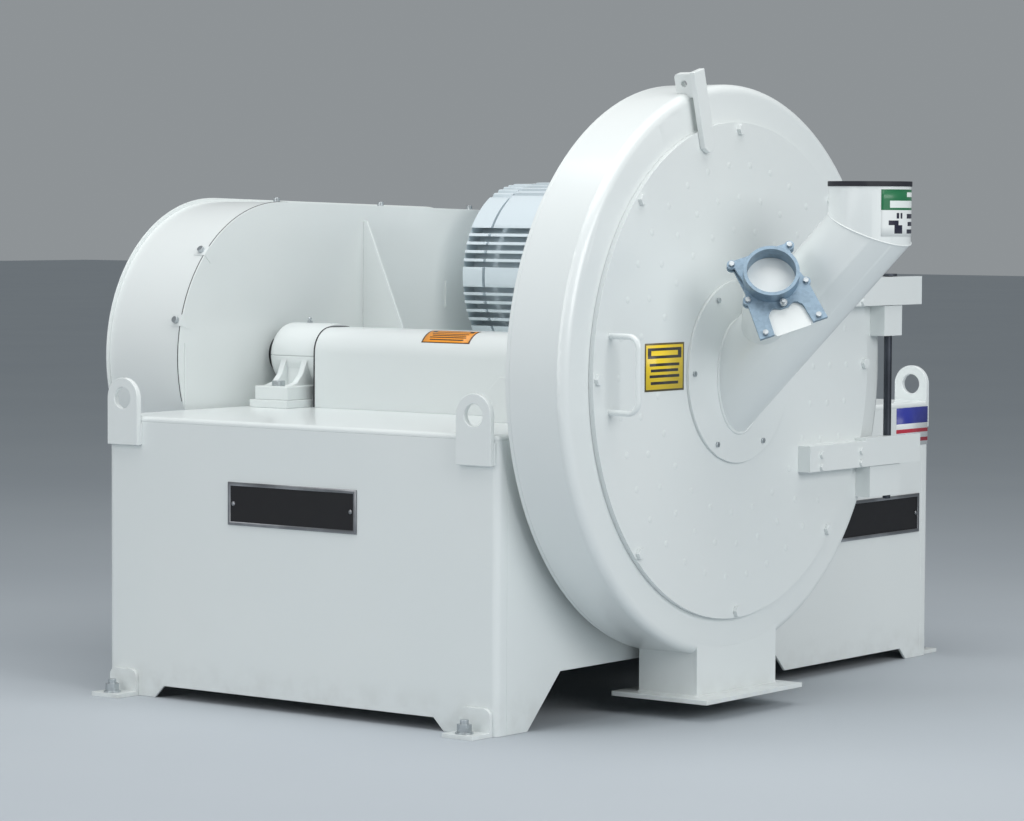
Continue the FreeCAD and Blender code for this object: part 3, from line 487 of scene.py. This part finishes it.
class MILL_OT_bearings(bpy.types.Operator):
    """Pillow blocks, their bolts and the shaft guard"""
    bl_idname = "mill.bearings"
    bl_label = "Bearings"

    def execute(self, context):
        white = FINISHES["enamel"]
        finish_groups((2.5, white, ["bearing_bases", "bearing_caps"]), (1.5, white, ["bearing_risers"]),
                      (0.8, white, ["shaft_guard"]), (1.0, FINISHES["zinc"], ["mounting_bolts"]))
        self.guard_end()
        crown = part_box("bearing_caps")[1]
        self.grease_fitting(Vector((MILL.x, 0.580, crown.z)))
        return {"FINISHED"}

    def guard_end(self):
        """Painted shade line round the guard's rear end, in the gap before the cap: up each side, a quarter
        circle, then level.
        """
        low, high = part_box("shaft_guard")
        turn = np.linspace(math.pi, math.pi / 2, 20)
        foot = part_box("base_top_plate")[1].z + 0.001
        bend = np.stack([low.x + GUARD_BEND + GUARD_BEND * np.cos(turn),
                         high.z - GUARD_BEND + GUARD_BEND * np.sin(turn)], -1)
        left = np.concatenate([[(low.x, foot)], bend])
        arch = np.concatenate([left, left[::-1] * (-1, 1) + (low.x + high.x, 0)])
        rim = np.stack([arch[:, 0], np.full(len(arch), high.y + 0.0008), arch[:, 1]], -1)
        # Painted shade: a thin black bar laid in the gap between the guard's end and the cap, where that
        # gap's shadow falls
        mesh = tube_mesh("guard_end_shade_line", rim, 0.0016, 8, reference=(0, 1, 0))
        add_piece("guard_end_shade_line", mesh, "frame", FINISHES["edging"])

    def grease_fitting(self, foot):
        """Nipple on the rear cap: a hexagon-like collar, a neck and a ball, turned about the vertical."""
        climb = np.array([-2, 4, 4.5, 7, 8, 9.5, 11, 12]) * MM
        radius = np.array([5.5, 5.5, 3, 3, 3.8, 4, 3, 0.8]) * MM
        path = np.array(foot) + climb[:, None] * np.array((0, 0, 1))
        mesh = tube_mesh("grease_fitting", path, radius, 12, reference=(1, 0, 0))
        add_piece("grease_fitting", mesh, "frame", FINISHES["zinc"])


class MILL_OT_belt_guard(bpy.types.Operator):
    """Belt guard, its screws, straps, folded edges and seam"""
    bl_idname = "mill.belt_guard"
    bl_label = "Belt guard"

    def execute(self, context):
        finish_groups((0.8, FINISHES["enamel"], ["belt_guard_front", "belt_guard_band", "belt_guard_back"]),
                      (1.0, FINISHES["zinc"], ["belt_guard_clips"]))
        low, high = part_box("belt_guard_front")
        radius = MILL.x - low.x
        for name, degrees in (("upper", 137), ("lower", 166)):
            self.strap(name, radius, low.y, math.radians(degrees))
        self.strips(low.y)
        self.seam(radius, low.y)
        return {"FINISHED"}

    def strips(self, front):
        """Two folded edges on the front plate, standing up from the base and from the motor's side."""
        half_wide, thick = 0.003, 0.005
        for name, x, bottom, top in (("left", -0.535, 0.560, 0.687), ("right", 0.322, 0.743, 0.801)):
            corner = (x - half_wide, front, bottom)
            strip = grid_mesh(f"guard_strip_{name}", flat_patch(corner, (2 * half_wide, 0, 0),
                                                                (0, 0, top - bottom)))
            piece = add_piece(f"guard_strip_{name}", strip, "frame", FINISHES["enamel"])
            fold = piece.modifiers.new("Fold", "SOLIDIFY")
            fold.thickness, fold.offset = thick, 0

    def seam(self, radius, front):
        """Dark joint between the band and the front plate, along an arc about the mill's axis."""
        turn = np.linspace(math.radians(78), math.radians(196), 160)
        path = np.stack([MILL.x + radius * np.cos(turn), np.full_like(turn, front + 0.0035),
                         MILL.z + radius * np.sin(turn)], -1)
        mesh = tube_mesh("guard_seam", path, 0.0008, 6, reference=(0, 1, 0))
        add_piece("guard_seam", mesh, "frame", FINISHES["edging"])

    def strap(self, name, radius, front, turn):
        """Small plate that folds from the band over the guard's front edge, square to the radius."""
        out = np.array((math.cos(turn), 0, math.sin(turn)))
        along = np.array((-math.sin(turn), 0, math.cos(turn)))
        clear, half_wide = 0.0012, 0.012
        centre = np.array((MILL.x, 0, MILL.z))
        fold = [(radius + clear, front + 0.027), (radius + clear, front - clear),
                (radius - 0.024, front - clear)]
        points = np.array([[centre + out * r + np.array((0, y, 0)) + along * side
                            for side in (-half_wide, half_wide)] for r, y in fold])
        piece = add_piece(f"guard_strap_{name}", grid_mesh(f"guard_strap_{name}", points), "frame",
                          FINISHES["enamel"])
        piece.modifiers.new("Plate", "SOLIDIFY").thickness = 0.0016


class MILL_OT_motor(bpy.types.Operator):
    """Motor and its rails"""
    bl_idname = "mill.motor"
    bl_label = "Motor"

    def execute(self, context):
        paint = FINISHES["motor"]
        finish_groups((1.4, paint, ["motor_frame"]), (2.0, paint, ["motor_drive_bell"]),
                      (1.0, paint, ["motor_fan_cowl"]), (6.0, paint, ["motor_terminal_box"]),
                      (2.0, FINISHES["enamel"], ["motor_slide_rails"]))
        return {"FINISHED"}


# ---------------------------------------------------------------- printed labels
def label_finish(name, draw):
    """Printed film: draw gives the colour field from the label's own u and v."""
    coat = Coat(name, Coat_Weight=0.2, Coat_Roughness=0.2)
    spot = coat.node("ShaderNodeUVMap", {"uv_map": "UVMap"})
    split = coat.node("ShaderNodeSeparateXYZ", {}, {0: spot})
    u, v = split, Field(coat, split.socket.node.outputs[1])
    coat.feed("Base Color", draw(coat, u, v))
    wear = coat.noise(90, 4)
    coat.feed("Roughness", wear * 0.2 + 0.28)
    coat.bump(wear, 0.1, 0.0003)
    return coat.material


def bars(u, v, rows, left, right):
    """Mask of printed bars: one row of dashes for each (low, high) pair of v."""
    mask = 0.0
    for index, (low, high) in enumerate(rows):
        indent = 0.03 * (index % 2)
        mask = v.between(low, high) * u.between(left + indent, right - indent) + mask
    return mask


def caution_print(ground):
    def draw(coat, u, v):
        border = 1 - u.between(0.03, 0.97) * v.between(0.04, 0.96)
        header = v.between(0.68, 0.90) * u.between(0.07, 0.93)
        notch = v.between(0.74, 0.84) * u.between(0.16, 0.84)
        rows = [(0.52, 0.58), (0.40, 0.46), (0.28, 0.34), (0.14, 0.20)]
        mask = border * 0.9 + header * (1 - notch) + bars(u, v, rows, 0.12, 0.88)
        return coat.blend(mask, rgba(ground), rgba((0.02, 0.02, 0.02)))
    return draw


def notice_print(green):
    def draw(coat, u, v):
        header = v > 0.56
        title = (v.between(0.84, 0.94) * u.between(0.50, 0.82) +
                 v.between(0.61, 0.76) * u.between(0.14, 0.95))
        page = coat.blend(header, rgba((0.80, 0.83, 0.82)), rgba(green))
        page = coat.blend(title, page, rgba((0.8, 0.86, 0.83)))
        palm = v.between(0.06, 0.24) * u.between(0.22, 0.38) + v.between(0.24, 0.34) * u.between(0.12, 0.30)
        fingers = v.between(0.38, 0.50) * (u.between(0.26, 0.31) + u.between(0.34, 0.38))
        rows = [(0.38, 0.48), (0.22, 0.31), (0.06, 0.15)]
        return coat.blend(bars(u, v, rows, 0.50, 0.92) + palm + fingers, page, rgba((0.01, 0.01, 0.03)))
    return draw


def stripe_print(coat, u, v):
    """Plain sticker: a blue band along the top, two thin red lines under it."""
    page = coat.blend(v > 0.58, rgba((0.82, 0.84, 0.84)), rgba((0.02, 0.03, 0.28)))
    return coat.blend(v.between(0.34, 0.44) + v.between(0.10, 0.20), page, rgba((0.55, 0.02, 0.05)))


class MILL_OT_labels(bpy.types.Operator):
    """Generic labels on the door, shaft guard, inlet and base"""
    bl_idname = "mill.labels"
    bl_label = "Labels"

    def execute(self, context):
        tones = context.scene.mill_colours
        film = context.scene.mill_sizes.film
        door_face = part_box("door_plate")[0].y
        wide, high = LABEL_SIZE
        x, z = LABEL_MIDDLE
        caution = label_finish("Caution print", caution_print(tones.caution))
        sticker("door_label", flat_patch((x - wide / 2, door_face - film / 4, z - high / 2), (wide, 0, 0),
                                         (0, 0, high)), "door", caution)
        self.guard_label(tones)
        self.inlet_label(tones)
        right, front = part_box("base_top_plate")[1].x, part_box("base_front_panel")[0].y
        corner = (right - 0.138, front - film / 4, 0.459)
        sticker("base_sticker", flat_patch(corner, (0.130, 0, 0), (0, 0, 0.082)), "frame",
                label_finish("Stripe print", stripe_print))
        return {"FINISHED"}

    def guard_label(self, tones):
        """Film over the guard's upper left bend: an arc of its quarter circle, carried along the guard."""
        low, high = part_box("shaft_guard")
        centre = np.array([low.x + GUARD_BEND, high.z - GUARD_BEND])
        angle = np.linspace(math.radians(146), math.radians(94), 14)
        y = np.linspace(0.230, 0.108, 6)
        ring = centre + GUARD_BEND * np.stack([np.cos(angle), np.sin(angle)], -1)
        points = np.empty((len(angle), len(y), 3))
        points[..., 0], points[..., 2] = ring[:, None, 0], ring[:, None, 1]
        points[..., 1] = y[None]
        sticker("guard_label", points, "frame",
                label_finish("Warning print", caution_print(tones.warning)))

    def inlet_label(self, tones):
        """Film on the upright inlet: an arc of its cylinder, facing forward and to the right."""
        low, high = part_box("inlet_rim")
        centre, radius = (low + high) / 2, TUBE_RADIUS
        angle = np.linspace(math.radians(-133), math.radians(-40), 24)
        z = np.linspace(0.915, 1.001, 6)
        points = np.empty((len(z), len(angle), 3))
        points[..., 0] = centre.x + radius * np.cos(angle)[None]
        points[..., 1] = centre.y + radius * np.sin(angle)[None]
        points[..., 2] = z[:, None]
        sticker("inlet_label", points, "door",
                label_finish("Notice print", notice_print(tones.notice)))


# ---------------------------------------------------------------- small details
class MILL_OT_nameplates(bpy.types.Operator):
    """Blank cast nameplates: dark face inside a raised bright border"""
    bl_idname = "mill.nameplates"
    bl_label = "Nameplates"

    def execute(self, context):
        dark = dull("Nameplate face", (0.004, 0.004, 0.006), 0.55, 0.012)
        bright = FINISHES["steel"]
        low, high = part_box("nameplates")
        thick = 0.004
        left = ((low.x + thick / 2, 0.171, 0.3935), (0, 1, 0), "left")
        front = ((0.567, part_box("base_front_panel")[0].y - thick / 2, 0.3135), (1, 0, 0), "front")
        for centre, along, side in (left, front):
            self.plate(Vector(centre), Vector(along), side, dark, bright)
        return {"FINISHED"}

    def plate(self, centre, along, side, dark, bright):
        long, high, border, thick = 0.320, 0.083, 0.007, 0.004
        outward = along.cross(Vector((0, 0, 1)))
        if side == "left":
            outward = Vector((-1, 0, 0))
        frame_piece = add_piece(f"nameplate_{side}_border",
                                border_mesh(centre, along, outward, long, high, border, thick),
                                "frame", bright)
        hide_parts("nameplates")
        face = centre - outward * (thick * 0.25)
        corner = face - along * (long / 2 - border) - Vector((0, 0, high / 2 - border))
        points = flat_patch(corner, along * (long - 2 * border), (0, 0, high - 2 * border))
        mesh = grid_mesh(f"nameplate_{side}_face", points)
        plate = add_piece(f"nameplate_{side}_face", mesh, "frame", dark)
        plate.modifiers.new("Sheet", "SOLIDIFY").thickness = 0.0015
        for end in (-1, 1):
            head = centre + along * (end * (long / 2 - 2 * border)) + outward * (thick * 0.1)
            dome = dome_mesh(f"nameplate_{side}_rivet", head, outward, 0.0045, 0.0025)
            add_piece(f"nameplate_{side}_rivet_{'low' if end < 0 else 'high'}", dome, "frame",
                      bright)


def border_mesh(centre, along, outward, long, high, border, thick):
    """Rectangular rim: a raised half-round profile carried round four mitred corners."""
    turn = np.linspace(0, np.pi, 7)
    inset = border * (0.5 - 0.5 * np.cos(turn))
    rise = thick * (0.15 + 0.35 * np.sin(turn))
    inset = np.concatenate([[0], inset, [border]])
    rise = np.concatenate([[-thick / 2], rise, [-thick / 2]])
    signs = np.array([(-1, -1), (1, -1), (1, 1), (-1, 1)], float)
    half = np.array([long / 2, high / 2])
    flat = signs[None] * (half[None, None] - inset[:, None, None])
    points = (np.array(centre) + flat[..., :1] * np.array(along) + flat[..., 1:] * np.array((0, 0, 1)) +
              rise[:, None, None] * np.array(outward))
    mesh = grid_mesh("border", points, wrap_u=True, wrap_v=True)
    face_outward(mesh)
    smooth(mesh, 40)
    return mesh


def dome_mesh(name, centre, outward, radius, high, sides=20, rings=6):
    """Button head: radius times the cosine and height times the sine of an angle that climbs up."""
    outward = Vector(outward).normalized()
    side = outward.orthogonal().normalized()
    up = outward.cross(side)
    climb = np.linspace(0, np.pi / 2 * 0.98, rings)
    angle = np.linspace(0, 2 * np.pi, sides, endpoint=False)
    ring = np.cos(angle)[:, None] * np.array(side) + np.sin(angle)[:, None] * np.array(up)
    points = (np.array(centre) + radius * np.cos(climb)[:, None, None] * ring[None] +
              (high * np.sin(climb))[:, None, None] * np.array(outward))
    mesh = grid_mesh(name, points, wrap_u=True)
    work = bmesh.new()
    work.from_mesh(mesh)
    bmesh.ops.holes_fill(work, edges=work.edges)
    bmesh.ops.recalc_face_normals(work, faces=work.faces)
    work.to_mesh(mesh)
    work.free()
    smooth(mesh, 60)
    return mesh


def pin_mark_mesh(radii, pitch, face_y, radius):
    """Faint round pin ends in rings: each a low rounded disc, all worked out as one array."""
    sides = 16
    profile_r = np.array([0.0, 0.72, 0.82, 1.0]) * radius
    profile_h = np.array([0.0007, 0.0006, 0.0004, -0.0001])
    angle = np.linspace(0, 2 * np.pi, sides, endpoint=False)
    spots = []
    for ring in radii:
        count = int(2 * np.pi * ring / pitch)
        place = 2 * np.pi * np.arange(count) / count
        spots.append(np.stack([MILL.x + ring * np.cos(place), MILL.z + ring * np.sin(place)], -1))
    spots = np.concatenate(spots)
    margin = np.abs(spots - LABEL_MIDDLE) - np.array(LABEL_SIZE) / 2
    spots = spots[(margin > radius).any(axis=1)]
    x = spots[:, None, None, 0] + profile_r[None, :, None] * np.cos(angle)
    z = spots[:, None, None, 1] + profile_r[None, :, None] * np.sin(angle)
    y = np.broadcast_to(face_y - profile_h[None, :, None], x.shape)
    points = np.stack([x, y, z], -1)
    rings = len(profile_r)
    index = np.arange(points.size // 3).reshape(len(spots), rings, sides)
    right = np.roll(index, -1, 2)
    faces = np.stack([index[:, :-1], index[:, 1:], right[:, 1:], right[:, :-1]], -1).reshape(-1, 4)
    mesh = bpy.data.meshes.new("pin_marks")
    mesh.from_pydata(points.reshape(-1, 3).tolist(), [], faces.tolist())
    work = bmesh.new()
    work.from_mesh(mesh)
    bmesh.ops.remove_doubles(work, verts=work.verts, dist=1e-6)
    work.to_mesh(mesh)
    work.free()
    smooth(mesh, 60)
    return mesh


class MILL_OT_pin_marks(bpy.types.Operator):
    """Painted-over pin ends in three rings on the door face"""
    bl_idname = "mill.pin_marks"
    bl_label = "Pin marks"

    def execute(self, context):
        face_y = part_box("door_plate")[0].y
        mesh = pin_mark_mesh(PIN_RINGS, PIN_PITCH, face_y, context.scene.mill_sizes.pin_mark)
        add_piece("door_pin_marks", mesh, "door", FINISHES["enamel"])
        return {"FINISHED"}


def weld(name, path, body, radius, closed=False, reference=(0, 0, 1)):
    """Weld bead: a bar whose radius ripples along its length, half sunk in the corner it fills."""
    centre = np.array(path, float)
    steps = np.linalg.norm(np.diff(centre, axis=0), axis=1).sum()
    ripple = 1 + 0.10 * np.sin(np.linspace(0, steps / 0.004 * 2 * np.pi, len(centre)))
    mesh = tube_mesh(name, centre, radius * ripple, 8, closed, reference)
    face_outward(mesh)
    return add_piece(name, mesh, body, FINISHES["enamel"])


def straight(start, end, pitch=0.0012):
    count = max(8, int((Vector(end) - Vector(start)).length / pitch))
    return np.linspace(start, end, count)


class MILL_OT_welds(bpy.types.Operator):
    """Weld beads where plates and pipes meet"""
    bl_idname = "mill.welds"
    bl_label = "Welds"

    def execute(self, context):
        size = context.scene.mill_sizes.weld
        self.spout_welds(size)
        self.lug_welds(size)
        self.chute_welds(size)
        return {"FINISHED"}

    def spout_welds(self, size):
        """Ellipse where the sloping pipe meets the feed plate: one radius across, root two more up."""
        face_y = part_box("feed_plate")[0].y
        turn = np.linspace(0, 2 * np.pi, 500, endpoint=False)
        pipe = TUBE_RADIUS + size * 0.3
        door_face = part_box("door_plate")[0].y
        middle = MILL.z - SPOUT_DROP + door_face - face_y
        path = np.stack([MILL.x + pipe * np.cos(turn), np.full_like(turn, face_y),
                         middle + pipe * math.sqrt(2) * np.sin(turn)], -1)
        weld("spout_weld", path, "door", size, True, (0, 1, 0))
        half_bend = math.radians(22.5)
        steep = np.array((0, math.cos(half_bend), math.sin(half_bend))) * TUBE_RADIUS / math.cos(half_bend)
        elbow = np.array((MILL.x, door_face - SPOUT_RUN, MILL.z - SPOUT_DROP + SPOUT_RUN))
        level = np.array((TUBE_RADIUS, 0, 0))
        mitre = elbow + np.cos(turn)[:, None] * level + np.sin(turn)[:, None] * steep
        weld("mitre_weld", mitre, "door", size * 0.5, True, (0, -1, 1))

    def lug_welds(self, size):
        foot, top = 0.497, 0.538
        for index, sign in enumerate((-1, 1)):
            for y in (LUG_FRONT, LUG_REAR):
                for edge in (-1, 1):
                    x = sign * (LUG_SIDE + size * 0.2)
                    start = (x, y + edge * LUG_HALF, foot)
                    end = (x, y + edge * LUG_HALF, top)
                    weld(f"lug_weld_{index}_{'front' if y < 0 else 'rear'}_{'a' if edge < 0 else 'b'}",
                         straight(start, end), "frame", size * 0.8, False, (1, 0, 0))

    def chute_welds(self, size):
        low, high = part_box("discharge_chute")
        corners = [(low.x, low.y), (high.x, low.y), (high.x, high.y), (low.x, high.y)]
        path = np.concatenate([straight((*a, low.z), (*b, low.z))[:-1]
                               for a, b in zip(corners, corners[1:] + corners[:1])])
        weld("chute_weld", path, "frame", size, True)


# ---------------------------------------------------------------- studio
def floor_finish():
    coat = Coat("Studio floor", Roughness=0.7)
    dark, pale = rgba((0.44, 0.48, 0.52)), rgba((0.50, 0.54, 0.57))
    coat.feed("Base Color", coat.blend(coat.noise(0.8, 3), dark, pale))
    return coat.material


def area_light(name, place, target, size, power, tint=(1, 1, 1)):
    lamp = bpy.data.lights.new(name, "AREA")
    lamp.shape, lamp.size, lamp.size_y = "RECTANGLE", size[0], size[1]
    lamp.energy, lamp.color = power, tint
    light = bpy.data.objects.new(name, lamp)
    bpy.context.scene.collection.objects.link(light)
    light.location = place
    light.rotation_mode = "QUATERNION"
    light.rotation_quaternion = (Vector(target) - Vector(place)).to_track_quat("-Z", "Y")


class MILL_OT_stage(bpy.types.Operator):
    """Pale floor, soft lights and the camera"""
    bl_idname = "mill.stage"
    bl_label = "Studio"

    def execute(self, context):
        scene = context.scene
        edge = 40.0
        floor = bpy.data.objects.new("floor", grid_mesh("floor", flat_patch(
            (-edge, -edge, 0), (2 * edge, 0, 0), (0, 2 * edge, 0))))
        scene.collection.objects.link(floor)
        floor.data.materials.append(floor_finish())
        world = bpy.data.worlds.new("Studio air")
        world.use_nodes = True
        world.node_tree.nodes["Background"].inputs[0].default_value = (0.80, 0.86, 0.90, 1)
        world.node_tree.nodes["Background"].inputs[1].default_value = 0.34
        scene.world = world
        middle = (0, 0, 0.6)
        area_light("Overhead softbox", (-0.8, -0.4, 4.2), middle, (4.5, 3.2), 112)
        area_light("Left softbox", (-4.6, 0.6, 2.2), middle, (2.6, 3.0), 52)
        area_light("Front softbox", (-1.2, -5.2, 2.6), (-0.2, -0.4, 0.7), (3.4, 2.4), 118)
        scene.view_settings.view_transform = "Standard"
        self.camera(scene)
        return {"FINISHED"}

    def camera(self, scene):
        """Long lens, a little above the drum's middle, looking along the base's front left corner."""
        lens = bpy.data.cameras.new("Camera")
        lens.lens, lens.sensor_width = LENS_MM, SENSOR_MM
        lens.clip_end = 200
        camera = bpy.data.objects.new("Camera", lens)
        scene.collection.objects.link(camera)
        right, up = Vector(CAMERA_RIGHT), Vector(CAMERA_UP)
        pose = Matrix((right, up, right.cross(up))).transposed().to_4x4()
        pose.translation = CAMERA_PLACE
        camera.matrix_world = pose
        scene.camera = camera


class MILL_PT_panel(bpy.types.Panel):
    """Buttons that build the mill's finish, one per group of pieces"""
    bl_label = "Impact mill"
    bl_space_type = "VIEW_3D"
    bl_region_type = "UI"
    bl_category = "Impact mill"

    def draw(self, context):
        for settings in (context.scene.mill_colours, context.scene.mill_sizes):
            for field in settings.bl_rna.properties:
                if field.identifier not in ("rna_type", "name"):
                    self.layout.prop(settings, field.identifier)
        for step in STEPS:
            self.layout.operator(step.bl_idname)


STEPS = (MILL_OT_finishes, MILL_OT_base, MILL_OT_housing, MILL_OT_door, MILL_OT_hinge, MILL_OT_gate,
         MILL_OT_bearings, MILL_OT_belt_guard, MILL_OT_motor, MILL_OT_labels, MILL_OT_nameplates,
         MILL_OT_pin_marks, MILL_OT_welds, MILL_OT_stage)
CLASSES = (MillColours, MillSizes, *STEPS, MILL_PT_panel)


def register():
    for cls in CLASSES:
        bpy.utils.register_class(cls)
    bpy.types.Scene.mill_colours = bpy.props.PointerProperty(type=MillColours)
    bpy.types.Scene.mill_sizes = bpy.props.PointerProperty(type=MillSizes)


def unregister():
    del bpy.types.Scene.mill_sizes
    del bpy.types.Scene.mill_colours
    for cls in reversed(CLASSES):
        bpy.utils.unregister_class(cls)


def main():
    register()
    for step in STEPS:
        group, name = step.bl_idname.split(".")
        getattr(getattr(bpy.ops, group), name)()
    bpy.context.view_layer.update()


if __name__ == "__main__":
    main()
